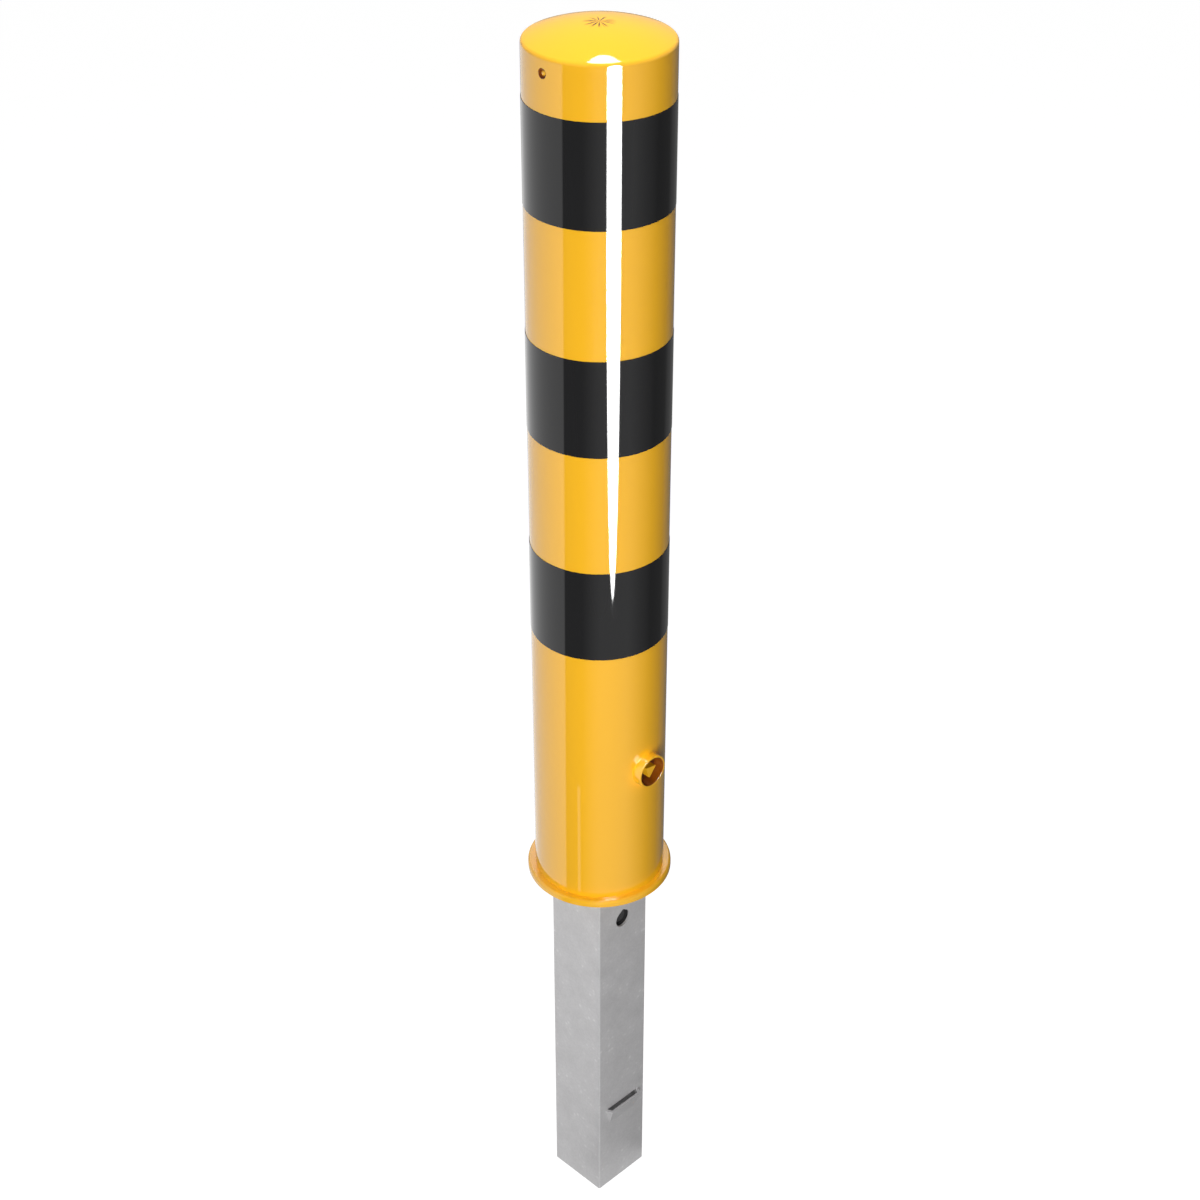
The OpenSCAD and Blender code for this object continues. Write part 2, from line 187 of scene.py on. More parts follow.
def powder_coat(name, colour, roughest=0.05):
    """Glossy coat under its own skin of resin. Its roughness drifts between 0.6 of roughest and
    roughest. Returns material, tree, coordinates and shader, so that a pattern can be added."""
    material, tree = new_material(name)
    coords = add_node(tree, "ShaderNodeTexCoord")
    bump = orange_peel(tree, coords, 5 * MM, 0.02)
    cloud = add_node(tree, "ShaderNodeTexNoise", inputs={"Scale": 9.0, "Detail": 3.0},
                     links={"Vector": coords.outputs["Object"]})
    gloss = add_node(tree, "ShaderNodeMapRange",
                     inputs={"To Min": 0.6 * roughest, "To Max": roughest},
                     links={"Value": cloud.outputs["Fac"]})
    coat = add_node(tree, "ShaderNodeBsdfPrincipled",
                    inputs={"Base Color": linear(colour), "IOR": 1.7},
                    links={"Roughness": gloss.outputs["Result"], "Normal": bump.outputs["Normal"]})
    add_node(tree, "ShaderNodeOutputMaterial", links={"Surface": coat.outputs["BSDF"]})
    return material, tree, coords, coat


yellow_coat = powder_coat("polyester_powder_coat_yellow", YELLOW)[0]

# %% The same coat with a star of painted shade at the cap's centre
star_shaded_crown_coat, tree, coords, coat = powder_coat("polyester_powder_coat_star_of_painted_shade", YELLOW)
split = add_node(tree, "ShaderNodeSeparateXYZ", links={"Vector": coords.outputs["Object"]})
angle = add_node(tree, "ShaderNodeMath", settings={"operation": "ARCTAN2"},
                 links={0: split.outputs["Y"], 1: split.outputs["X"]})
flat = add_node(tree, "ShaderNodeCombineXYZ",
                links={"X": split.outputs["X"], "Y": split.outputs["Y"]})
reach = add_node(tree, "ShaderNodeVectorMath", settings={"operation": "LENGTH"},
                 links={0: flat.outputs["Vector"]})
turned = add_node(tree, "ShaderNodeCombineXYZ",
                  links={"X": angle.outputs["Value"], "Y": reach.outputs["Value"]})
# The angle runs over 6.28, so a scale of 4 gives about 20 painted dark lines; along them it hardly
# changes
ray = add_node(tree, "ShaderNodeTexNoise", inputs={"Scale": 4.0, "Detail": 1.0},
               links={"Vector": turned.outputs["Vector"]})
sharp = add_node(tree, "ShaderNodeMapRange",
                 inputs={"From Min": 0.5, "From Max": 0.54}, links={"Value": ray.outputs["Fac"]})
fade = add_node(tree, "ShaderNodeMapRange",
                inputs={"From Min": 0.5 * STAR_R, "From Max": STAR_R, "To Min": 1.0,
                        "To Max": 0.0},
                links={"Value": reach.outputs["Value"]})
star_shade = add_node(tree, "ShaderNodeMath", settings={"operation": "MULTIPLY"},
                  links={0: sharp.outputs["Result"], 1: fade.outputs["Result"]})
# Painted shade: the dark brown lines are mixed into the yellow base colour
shade = add_node(tree, "ShaderNodeMix", settings={"data_type": "RGBA"},
                 links={"Factor": star_shade.outputs["Value"]})
shade.inputs["A"].default_value = linear(YELLOW)
shade.inputs["B"].default_value = linear(STAR_SHADE_BROWN)
tree.links.new(shade.outputs["Result"], coat.inputs["Base Color"])

# %% [markdown]
# ## Painted shade in narrow places
# The wall of the lock's bore and the sunk ring round the vent plug's nose are painted brown:
# painted shade, standing in for the shade in these narrow recesses. A distance tells such
# a place from the plain yellow faces next to it: from an axis, or from a point where only one
# hole is meant.

# %% Coat with painted shade in narrow places
# Brown of the painted shade in narrow recesses
RECESS_SHADE_BROWN = "#8a4a10"


def recess_shaded_coat(name, centre, directions, shade_at, yellow_at):
    """Powder coat with painted shade: its base colour goes from brown to yellow between two
    distances from the centre. directions is 1 for each of x, y and z that counts: with two of them
    the distance is from a line."""
    material, tree, coords, coat = powder_coat(name, YELLOW)
    off = add_node(tree, "ShaderNodeVectorMath", settings={"operation": "SUBTRACT"},
                   inputs={1: centre}, links={0: coords.outputs["Object"]})
    counted = add_node(tree, "ShaderNodeVectorMath", settings={"operation": "MULTIPLY"},
                       inputs={1: directions}, links={0: off.outputs["Vector"]})
    distance = add_node(tree, "ShaderNodeVectorMath", settings={"operation": "LENGTH"},
                        links={0: counted.outputs["Vector"]})
    full = add_node(tree, "ShaderNodeMapRange", inputs={"From Min": shade_at, "From Max": yellow_at},
                    links={"Value": distance.outputs["Value"]})
    shade = add_node(tree, "ShaderNodeMix", settings={"data_type": "RGBA"},
                     links={"Factor": full.outputs["Result"]})
    shade.inputs["A"].default_value = linear(RECESS_SHADE_BROWN)
    shade.inputs["B"].default_value = linear(YELLOW)
    tree.links.new(shade.outputs["Result"], coat.inputs["Base Color"])
    return material

# %% [markdown]
# ## Black film
# The bands are self-adhesive vinyl film. It is calendered between polished rollers and wrapped
# round the tube, so it is as smooth as the coat under it, but vinyl mirrors a little less.

# %% Black film
def calendered_film(name, colour):
    """Smooth vinyl film, whose gloss drifts a little over a hand's breadth."""
    material, tree = new_material(name)
    coords = add_node(tree, "ShaderNodeTexCoord")
    bump = orange_peel(tree, coords, 3 * MM, 0.02)
    cloud = add_node(tree, "ShaderNodeTexNoise", inputs={"Scale": 12.0, "Detail": 2.0},
                     links={"Vector": coords.outputs["Object"]})
    gloss = add_node(tree, "ShaderNodeMapRange", inputs={"To Min": 0.035, "To Max": 0.055},
                     links={"Value": cloud.outputs["Fac"]})
    film = add_node(tree, "ShaderNodeBsdfPrincipled",
                    inputs={"Base Color": linear(colour), "IOR": 1.45},
                    links={"Roughness": gloss.outputs["Result"], "Normal": bump.outputs["Normal"]})
    add_node(tree, "ShaderNodeOutputMaterial", links={"Surface": film.outputs["BSDF"]})
    return material


black_film = calendered_film("calendered_vinyl_film_black", "#1d1d1e")

# %% [markdown]
# ## Galvanised steel
# The socket is dipped in molten zinc. On such a tube the zinc freezes to a dull, even grey with
# faint clouds a few centimetres across, and with small brighter flecks where single crystals
# or runs caught the light. Dull zinc is part mirror, part chalky oxide, so it is only partly
# metallic here.

# %% Galvanised steel
def hot_dip_zinc(name, dark, light, fleck):
    """Dull zinc: clouds and grain blend from dark to light, and soft flecks lie on the paler
    clouds only."""
    material, tree = new_material(name)
    coords = add_node(tree, "ShaderNodeTexCoord")
    cloud = add_node(tree, "ShaderNodeTexNoise", inputs={"Scale": 1 / (25 * MM), "Detail": 6.0},
                     links={"Vector": coords.outputs["Object"]})
    grain = add_node(tree, "ShaderNodeTexNoise", inputs={"Scale": 1 / (3 * MM), "Detail": 3.0},
                     links={"Vector": coords.outputs["Object"]})
    blend = add_node(tree, "ShaderNodeMix", settings={"data_type": "FLOAT"},
                     inputs={"Factor": 0.45},
                     links={"A": cloud.outputs["Fac"], "B": grain.outputs["Fac"]})
    shade = add_node(tree, "ShaderNodeValToRGB", links={"Fac": blend.outputs["Result"]})
    shade.color_ramp.elements[0].position = 0.35
    shade.color_ramp.elements[0].color = linear(dark)
    shade.color_ramp.elements[1].position = 0.65
    shade.color_ramp.elements[1].color = linear(light)
    crystals = add_node(tree, "ShaderNodeTexVoronoi", inputs={"Scale": 1 / (9 * MM)},
                        links={"Vector": coords.outputs["Object"]})
    spots = add_node(tree, "ShaderNodeMapRange",
                     inputs={"From Min": 0.05, "From Max": 0.32, "To Min": 1.0, "To Max": 0.0},
                     links={"Value": crystals.outputs["Distance"]})
    patch = add_node(tree, "ShaderNodeMapRange", inputs={"From Min": 0.52, "From Max": 0.6},
                     links={"Value": cloud.outputs["Fac"]})
    some = add_node(tree, "ShaderNodeMath", settings={"operation": "MULTIPLY"},
                    links={0: spots.outputs["Result"], 1: patch.outputs["Result"]})
    tint = add_node(tree, "ShaderNodeMix", settings={"data_type": "RGBA"},
                    links={"Factor": some.outputs["Value"], "A": shade.outputs["Color"]})
    tint.inputs["B"].default_value = linear(fleck)
    gloss = add_node(tree, "ShaderNodeMapRange", inputs={"To Min": 0.5, "To Max": 0.65},
                     links={"Value": blend.outputs["Result"]})
    bump = add_node(tree, "ShaderNodeBump", inputs={"Strength": 0.25, "Distance": 0.1 * MM},
                    links={"Height": blend.outputs["Result"]})
    zinc = add_node(tree, "ShaderNodeBsdfPrincipled", inputs={"Metallic": 0.25},
                    links={"Base Color": tint.outputs["Result"],
                           "Roughness": gloss.outputs["Result"],
                           "Normal": bump.outputs["Normal"]})
    add_node(tree, "ShaderNodeOutputMaterial", links={"Surface": zinc.outputs["BSDF"]})
    return material


galvanised = hot_dip_zinc("hot_dip_galvanised_steel", "#c9c8c9", "#d6d5d6", "#e4e3e4")

# %% [markdown]
# ## Finishes of the hidden lockwork
# The spigot and the plates welded to it are dipped in black primer, which dries matt. Bolt and
# wedge are phosphated, a dark crystalline coat that holds oil. Rod, cam and washers are zinc
# plated and fairly bright, and the bush that the spindle turns in is turned bearing bronze. The
# bronze is darker than its own colour, partly painted shade for the lock's recess where its face
# shows.

# %% Primer, phosphate, zinc plate and bronze
def grained_finish(name, dark, light, grain_size, roughness, metallic):
    """Two close shades mixed by noise of a grain's size, with the same noise as a fine bump."""
    material, tree = new_material(name)
    coords = add_node(tree, "ShaderNodeTexCoord")
    grain = add_node(tree, "ShaderNodeTexNoise", inputs={"Scale": 1 / grain_size, "Detail": 4.0},
                     links={"Vector": coords.outputs["Object"]})
    shade = add_node(tree, "ShaderNodeValToRGB", links={"Fac": grain.outputs["Fac"]})
    shade.color_ramp.elements[0].position = 0.35
    shade.color_ramp.elements[0].color = linear(dark)
    shade.color_ramp.elements[1].position = 0.65
    shade.color_ramp.elements[1].color = linear(light)
    bump = add_node(tree, "ShaderNodeBump", inputs={"Strength": 0.2, "Distance": 0.05 * MM},
                    links={"Height": grain.outputs["Fac"]})
    metal = add_node(tree, "ShaderNodeBsdfPrincipled",
                     inputs={"Metallic": metallic, "Roughness": roughness},
                     links={"Base Color": shade.outputs["Color"],
                            "Normal": bump.outputs["Normal"]})
    add_node(tree, "ShaderNodeOutputMaterial", links={"Surface": metal.outputs["BSDF"]})
    return material


FINISHES = {
    "yellow_coat": yellow_coat,
    "black_film": black_film,
    "galvanised": galvanised,
    "black_primer": grained_finish("black_dip_primer", "#2b2b2c", "#343435", 4 * MM, 0.7, 0.0),
    "phosphated": grained_finish("phosphated_steel", "#434344", "#525253", 1.5 * MM, 0.55, 0.5),
    "zinc_plated": grained_finish("zinc_plated_steel", "#c2c5c9", "#d0d3d6", 3 * MM, 0.3, 1.0),
    # Bronze's own colour, darkened further: painted shade on the bush's face in the lock's recess
    "bronze": grained_finish("bearing_bronze_darkened_as_shade", "#86562a", "#966636", 2 * MM, 0.4, 1.0),
}
for part in frame["record"]["subparts"]:
    piece = nodes[part["node"]]
    piece.data.materials.clear()
    piece.data.materials.append(FINISHES[part["material_slot"]])
print("finished", len(nodes), "packed pieces")

# %% [markdown]
# ## Smooth surfaces
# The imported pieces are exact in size, but their round faces are made of flat strips, and a
# gloss shows every strip as a kink in the mirrored lamps. So each round, glossy piece is worked
# out again as a fine grid of points: rows along a profile, columns round an axis. All points of
# a piece are computed at once as arrays, joined into one closed shell, and shaded smooth except
# across edges that are sharp on the real piece.

# %% From grids of points to a closed shell
def grid_faces(rows, columns, first, closed, keep=None):
    """Quads between neighbouring points of a grid, numbered row by row from first. closed joins
    the last column to the first one. keep is a mask of the quads to make."""
    index = first + np.arange(rows * columns).reshape(rows, columns)
    if closed:
        index = np.hstack([index, index[:, :1]])
    quads = np.stack([index[:-1, :-1], index[:-1, 1:], index[1:, 1:], index[1:, :-1]], axis=-1)
    return quads.reshape(-1, 4) if keep is None else quads[keep]


def shell(name, grids, sharp_over=30):
    """Mesh object from (points, closed, keep) grids. Points that coincide are welded, and the
    faces are turned outwards. Edges bent by more than sharp_over degrees stay sharp."""
    points, faces, first = [], [], 0
    for grid, closed, keep in grids:
        rows, columns = grid.shape[:2]
        points.append(grid.reshape(-1, 3))
        faces.append(grid_faces(rows, columns, first, closed, keep))
        first += rows * columns
    mesh = bpy.data.meshes.new(name)
    used, corners = np.unique(np.vstack(faces), return_inverse=True)
    mesh.from_pydata(np.vstack(points)[used].tolist(), [], corners.reshape(-1, 4).tolist())
    work = bmesh.new()
    work.from_mesh(mesh)
    bmesh.ops.remove_doubles(work, verts=work.verts, dist=0.002 * MM)
    bmesh.ops.recalc_face_normals(work, faces=work.faces)
    open_edges = sum(not edge.is_manifold for edge in work.edges)
    work.to_mesh(mesh)
    work.free()
    mesh.shade_smooth()
    mesh.set_sharp_from_angle(angle=math.radians(sharp_over))
    piece = bpy.data.objects.new(name, mesh)
    scene.collection.objects.link(piece)
    print(name, len(mesh.polygons), "faces,", open_edges, "open edges")
    return piece


def stand_for(piece, node, material):
    """Gives a new piece its finish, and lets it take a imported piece's place on the post."""
    piece.data.materials.append(material)
    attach(piece, "post")
    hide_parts(node)

# %% [markdown]
# ## Round pieces
# A lathe makes a round piece by turning a profile about an axis, and so does this function. The
# profile is a loop of (radius, height) points, and each of its arcs gets points of its own.

# %% Lathe function and arcs
def arc(centre, radius, start, end, count):
    """Points on a circle from one angle to another, in degrees: centre + r (cos a, sin a)."""
    a = np.radians(np.linspace(start, end, count))
    return np.array(centre) + radius * np.column_stack([np.cos(a), np.sin(a)])


def turned_grid(profile, columns, place):
    """Grid of a profile turned about an axis. place maps (radius cos a, radius sin a, height)
    to the piece's own position. A stretch of the profile that runs along the axis has no face."""
    loop = np.vstack([profile, profile[:1]])
    on_axis = loop[:, 0] < 0.001 * MM
    has_face = np.repeat(~(on_axis[:-1] & on_axis[1:])[:, None], columns, axis=1)
    a = np.linspace(0, 2 * np.pi, columns, endpoint=False)
    radius, height = loop[:, :1], loop[:, 1:]
    across, along = radius * np.cos(a), radius * np.sin(a)
    return place(across, along, np.broadcast_to(height, across.shape)), True, has_face


def upright(x, y, z):
    """The axis is the post's own."""
    return np.stack([x, y, z], axis=-1)

# %% [markdown]
# ## Dished cap
# The tube is closed by a dished end as on a pressure vessel: a shallow crown of one large
# radius, which rolls over a tight knuckle into the wall. Pressing gives both arcs, so the
# profile is exactly two arcs outside and two parallel ones inside, a sheet's thickness apart.

# %% Dished cap
CAP_T, KNUCKLE_R = 3 * MM, 5 * MM
CAP_RISE = cap_high[2] - cap_low[2]
KNUCKLE_X = POST_R - KNUCKLE_R
CROWN_R = (KNUCKLE_X ** 2 + CAP_RISE ** 2 - KNUCKLE_R ** 2) / (2 * (CAP_RISE - KNUCKLE_R))
CROWN_Z = TUBE_TOP_Z + CAP_RISE - CROWN_R
meet = math.degrees(math.atan2(TUBE_TOP_Z - CROWN_Z, KNUCKLE_X))


def dish_arcs(inset):
    """The knuckle's arc and the crown's arc, moved into the metal by inset."""
    knuckle = arc((KNUCKLE_X, TUBE_TOP_Z), KNUCKLE_R - inset, 0, meet, 14)
    crown = arc((0, CROWN_Z), CROWN_R - inset, meet, 90, 48)
    return np.vstack([knuckle, crown[1:]])


cap_profile = np.vstack([dish_arcs(0), dish_arcs(CAP_T)[::-1]])
cap = shell("dished_cap_smooth", [turned_grid(cap_profile, 360, upright)])
stand_for(cap, "dished_cap", star_shaded_crown_coat)
print("crown radius", round(CROWN_R / MM, 1), "mm")

# %% [markdown]
# ## Bands
# Each band is a strip of film wrapped once round the tube. It stands proud by its own
# thickness, a third of a millimetre, which is enough for a thin edge to show.

# %% Three bands
bands = []
for name in ("band_top", "band_middle", "band_bottom"):
    low, high = box_of(name)
    inner, outer = POST_R + 0.02 * MM, high[0]
    film_profile = np.array([(inner, low[2]), (outer, low[2]), (outer, high[2]), (inner, high[2])])
    band = shell(name + "_smooth", [turned_grid(film_profile, 360, upright)])
    stand_for(band, name, black_film)
    bands.append(band)

# %% [markdown]
# ## Lock barrel
# The barrel is a short piece of tube set through the wall. Its rim was faced and its edges
# broken before coating, and the coat rounds them further, so both edges of the rim are small
# arcs that catch a thin line of light.

# %% Lock barrel
RIM_EDGE = 0.7 * MM
rim_y, back_y = barrel_low[1], barrel_high[1]
bore = BARREL_R - BARREL_WALL
barrel_profile = np.vstack([
    [(bore, -back_y), (BARREL_R, -back_y)],
    arc((BARREL_R - RIM_EDGE, -rim_y - RIM_EDGE), RIM_EDGE, 0, 90, 7),
    arc((bore + RIM_EDGE, -rim_y - RIM_EDGE), RIM_EDGE, 90, 180, 7),
])


def out_of_lock(x, z, out):
    """The axis points out of the post at the lock, towards -Y."""
    return np.stack([x, -out, LOCK_Z + z], axis=-1)


# Painted shade: brown on the bore's wall, yellow on the rim and outside
barrel_coat = recess_shaded_coat("polyester_powder_coat_painted_shade_in_bore", (0, 0, LOCK_Z), (1, 0, 1),
                            bore + 0.1 * MM, bore + 0.8 * MM)
barrel = shell("lock_barrel_smooth", [turned_grid(barrel_profile, 192, out_of_lock)])
stand_for(barrel, "lock_barrel", barrel_coat)

# %% [markdown]
# ## Vent plug
# A hole near the top lets air out of the closed tube while the coat is baked. A small plug with
# a domed nose closes it, set a little below the surface. Only the nose is yellow; the sunk ring
# round it is painted shade in brown.

# %% Vent plug
PLUG_R, NOSE_R, PLUG_INSET = PLUG_HOLE_R - BARREL_FIT, 3 * MM, 2.6 * MM
nose_out, plug_back = -plug_low[0], -plug_high[0]
plug_face = POST_R - PLUG_INSET
nose_h = nose_out - plug_face
dome_r = (NOSE_R ** 2 + nose_h ** 2) / (2 * nose_h)
dome_angle = math.degrees(math.asin((dome_r - nose_h) / dome_r))
plug_profile = np.vstack([
    [(0, plug_back), (PLUG_R, plug_back), (PLUG_R, plug_face), (NOSE_R, plug_face)],
    arc((0, nose_out - dome_r), dome_r, dome_angle, 90, 12)[1:],
])


def out_of_vent(y, z, out):
    """The axis points out of the post at the vent, towards -X."""
    return np.stack([-out, y, PLUG_Z + z], axis=-1)


# Painted shade: brown on the sunk ring round the nose, yellow on the nose
plug_coat = recess_shaded_coat("polyester_powder_coat_painted_shade_round_nose", (0, 0, PLUG_Z), (0, 1, 1),
                          NOSE_R - 0.1 * MM, NOSE_R - 0.6 * MM)
plug = shell("vent_plug_smooth", [turned_grid(plug_profile, 72, out_of_vent)])
stand_for(plug, "vent_plug", plug_coat)

# %% [markdown]
# ## Foot flange
# The flange is a round plate with a rounded upper edge and a square opening for the spigot. A
# lathe can't make a square hole, so the plate is a loft instead: a row of loops with equally
# many points, round ones outside and square ones inside, each point at the same angle.

# %% Foot flange
FLANGE_EDGE_R, FLANGE_CHAMFER = 3.5 * MM, 0.4 * MM
SPIGOT_SIDE, SPIGOT_CORNER_R = 70 * MM, 4.5 * MM
flange_r = flange_high[1]
flange_angles = np.linspace(0, 2 * np.pi, 720, endpoint=False)


def rounded_square_radius(a, half, corner):
    """Distance from the centre to a square outline with rounded corners, at each angle. Folded
    into one eighth of a turn, it is half / cos a on the straight side, and beyond it the far
    crossing with the corner's circle: p.u + sqrt((p.u) ** 2 - (p.p - corner ** 2))."""
    fold = np.abs((a + np.pi / 4) % (np.pi / 2) - np.pi / 4)
    centre = half - corner
    along = centre * (np.cos(fold) + np.sin(fold))
    on_circle = along + np.sqrt(np.maximum(along ** 2 - 2 * centre ** 2 + corner ** 2, 0))
    return np.where(half * np.tan(fold) <= centre, half / np.cos(fold), on_circle)


round_edge = arc((flange_r - FLANGE_EDGE_R, flange_high[2] - FLANGE_EDGE_R), FLANGE_EDGE_R,
                 0, 90, 12)
outer_loops = np.vstack([
    [(flange_r - FLANGE_CHAMFER, flange_low[2]), (flange_r, flange_low[2] + FLANGE_CHAMFER)],
    round_edge,
])
opening = rounded_square_radius(flange_angles, SPIGOT_SIDE / 2, SPIGOT_CORNER_R)
radii = np.vstack([opening, np.repeat(outer_loops[:, :1], 720, axis=1), opening, opening])
heights = np.concatenate([flange_low[2:], outer_loops[:, 1], flange_high[2:], flange_low[2:]])
flange_points = upright(radii * np.cos(flange_angles), radii * np.sin(flange_angles),
                        np.broadcast_to(heights[:, None], radii.shape))
flange = shell("foot_flange_smooth", [(flange_points, True, None)])
# The picture's ledge mirrors no lamp sharply, so its coat is taken as rougher than the tube's
flange_coat = powder_coat("polyester_powder_coat_satin_ledge", YELLOW, roughest=0.22)[0]
stand_for(flange, "foot_flange", flange_coat)

# %% [markdown]
# ## Post tube
# The tube is a round wall with two round holes through it, one for the barrel and one for the
# vent plug. Cutting holes into a finished grid would leave ragged shading round them. Instead
# the wall is drawn flat, as if unrolled: angle across, height up. A rectangular window is left
# round each hole and filled with rings that change from the window's shape to the hole's edge.
# The same drawing is wrapped at the outer and at the bore radius, and the holes' walls join
# the two.

# %% Windows for the holes
COLUMNS = 360
HOLES = [
    # angle of the hole, its height, its radius, half window in columns, half height, rows in it
    (math.radians(-90), LOCK_Z, BARREL_R + BARREL_FIT, 22, 28 * MM, 24),
    (math.radians(180), PLUG_Z, PLUG_HOLE_R, 8, 9 * MM, 16),
]
step = 2 * np.pi / COLUMNS
window_rows = [np.linspace(z - half, z + half, rows + 1) for _, z, _, _, half, rows in HOLES]
tube_heights = np.concatenate([[TUBE_BOTTOM_Z], *window_rows, [TUBE_TOP_Z]])
tube_angles = np.arange(COLUMNS) * step - np.pi
print("tube rows:", len(tube_heights))


def wrapped(a, z, radius):
    """Point of the unrolled drawing on the tube: (r cos a, r sin a, z)."""
    return np.stack([radius * np.cos(a), radius * np.sin(a), z], axis=-1)


def kept_quads():
    """Mask of the wall's quads that lie in no window."""
    middle_a = tube_angles + step / 2
    middle_z = (tube_heights[:-1] + tube_heights[1:]) / 2
    keep = np.ones((len(middle_z), COLUMNS), bool)
    for a, z, _, half_columns, half, _ in HOLES:
        off = np.abs((middle_a - a + np.pi) % (2 * np.pi) - np.pi)
        keep &= ~((np.abs(middle_z - z) < half)[:, None] & (off < half_columns * step)[None, :])
    return keep


def window_loop(hole):
    """The window's outline, point by point round it, as offsets from the hole's centre."""
    _, _, _, half_columns, half, rows = hole
    across = np.arange(-half_columns, half_columns + 1) * step
    up = np.linspace(-half, half, rows + 1)
    low = np.column_stack([across[:-1], np.full(len(across) - 1, up[0])])
    right = np.column_stack([np.full(rows, across[-1]), up[:-1]])
    high = np.column_stack([across[:0:-1], np.full(len(across) - 1, up[-1])])
    left = np.column_stack([np.full(rows, across[0]), up[:0:-1]])
    return np.vstack([low, right, high, left])


def hole_edge(hole, radius):
    """The hole's edge on the wall. A straight bore of radius h meets a wall of radius r where
    sin(angle) = (h / r) cos t, at height h sin t."""
    bore_r = hole[2]
    outline = window_loop(hole)
    t = np.arctan2(outline[:, 1], outline[:, 0] * POST_R)
    return np.column_stack([np.arcsin(bore_r * np.cos(t) / radius), bore_r * np.sin(t)])


def window_grid(hole, radius, rings=9):
    """Rings from the hole's edge out to the window: (1 - s) edge + s window."""
    s = (np.linspace(0, 1, rings) ** 1.3)[:, None, None]
    flat = (1 - s) * hole_edge(hole, radius) + s * window_loop(hole)
    return wrapped(hole[0] + flat[..., 0], hole[1] + flat[..., 1], radius), True, None

# %% Post tube
wall_a, wall_z = np.meshgrid(tube_angles, tube_heights)
bore_r = POST_R - POST_WALL
walls = {r: wrapped(wall_a, wall_z, r) for r in (POST_R, bore_r)}
tube_grids = [(walls[r], True, kept_quads()) for r in walls]
tube_grids += [(np.stack([walls[POST_R][row], walls[bore_r][row]]), True, None) for row in (0, -1)]
for hole in HOLES:
    skins = [window_grid(hole, r) for r in walls]
    tube_grids += skins + [(np.stack([skins[0][0][0], skins[1][0][0]]), True, None)]
tube = shell("post_tube_smooth", tube_grids)
# The wall of the vent hole lies 5 to 5.3 mm from the middle of the hole, so a ball covers it; the
# brown inside it is painted shade
tube_coat = recess_shaded_coat("polyester_powder_coat_painted_shade_in_vent",
                          (-(POST_R - POST_WALL / 2), 0, PLUG_Z), (1, 1, 1), 5.3 * MM, 5.6 * MM)
stand_for(tube, "post_tube", tube_coat)

# %% [markdown]
# ## Floor
# The floor is a plain pale sheet. Where the camera or a mirroring surface looks at it, a
# little glow lifts it to the white of the background, and the lamps still draw the object's
# shadow on it.

# %% Floor
def flat_sheet(name, size, z):
    """One square face of the given size, lying at height z."""
    half = size / 2
    mesh = bpy.data.meshes.new(name)
    mesh.from_pydata([(-half, -half, z), (half, -half, z), (half, half, z), (-half, half, z)],
                     [], [(0, 1, 2, 3)])
    sheet = bpy.data.objects.new(name, mesh)
    scene.collection.objects.link(sheet)
    return sheet


def looked_at(tree):
    """Node that is 1 for camera, mirrored and transmitted rays and 0 for others."""
    seen = add_node(tree, "ShaderNodeLightPath")
    direct = add_node(tree, "ShaderNodeMath", settings={"operation": "MAXIMUM"},
                      links={0: seen.outputs["Is Camera Ray"], 1: seen.outputs["Is Glossy Ray"]})
    return add_node(tree, "ShaderNodeMath", settings={"operation": "MAXIMUM"},
                    links={0: direct.outputs["Value"],
                           1: seen.outputs["Is Transmission Ray"]})


FLOOR_SIZE, FLOOR_GAP = 30.0, 0.5 * MM
floor = flat_sheet("studio_floor", FLOOR_SIZE, -FLOOR_GAP)
floor_material, tree = new_material("matt_white_floor")
plain = looked_at(tree)
matt = add_node(tree, "ShaderNodeBsdfDiffuse", inputs={"Color": linear("#888888")})
glow = add_node(tree, "ShaderNodeEmission", inputs={"Strength": 0.97})
none = add_node(tree, "ShaderNodeEmission", inputs={"Strength": 0.0})
lift = add_node(tree, "ShaderNodeMixShader",
                links={0: plain.outputs["Value"], 1: none.outputs[0], 2: glow.outputs[0]})
both = add_node(tree, "ShaderNodeAddShader", links={0: matt.outputs[0], 1: lift.outputs[0]})
add_node(tree, "ShaderNodeOutputMaterial", links={"Surface": both.outputs[0]})
floor.data.materials.append(floor_material)

# %% [markdown]
# ## World
# The world is white where the camera or a mirroring surface sees it, and gives only a weak
# even light otherwise.

# %% World
world = bpy.data.worlds.new("studio_white")
scene.world = world
world.use_nodes = True
tree = world.node_tree
tree.nodes.clear()
plain = looked_at(tree)
white = add_node(tree, "ShaderNodeBackground", inputs={"Color": (1, 1, 1, 1), "Strength": 1.0})
ambient = add_node(tree, "ShaderNodeBackground", inputs={"Color": (1, 1, 1, 1), "Strength": 0.08})
pick = add_node(tree, "ShaderNodeMixShader",
                links={0: plain.outputs["Value"], 1: ambient.outputs[0], 2: white.outputs[0]})
add_node(tree, "ShaderNodeOutputWorld", links={"Surface": pick.outputs[0]})

# %% [markdown]
# ## Screen round the post
# A photographer shapes the reflections on a glossy tube with boards and cloth round it, which
# stand just outside the picture. Here one round screen does it: it is bright on the left,
# dark in a gap next to that, pale in front, and grey on the right. It covers the floor up to
# the socket too. A dome of grey cloth hangs above and starts at the screen's upper edge, so no
# white shows between the two. Only mirrored rays see them, so they throw no light or shadow.

# %% Reflecting screen
SCREEN_R, SCREEN_TOP, SCREEN_INNER_R = 0.7, 1.42, 0.07
SCREEN_PEAK = 2.0
# side in degrees from the camera's side towards the right, and brightness
SCREEN = [(-180, 0.3), (-170, 0.35), (-162, 1.2), (-59.3, 1.2), (-58, 0.17), (-29, 0.15),
          (-10, 0.5), (0, 0.65), (43, 0.65), (64, 0.35), (86, 0.12), (114, 0.12), (123, 0.2),
          (180, 0.2)]

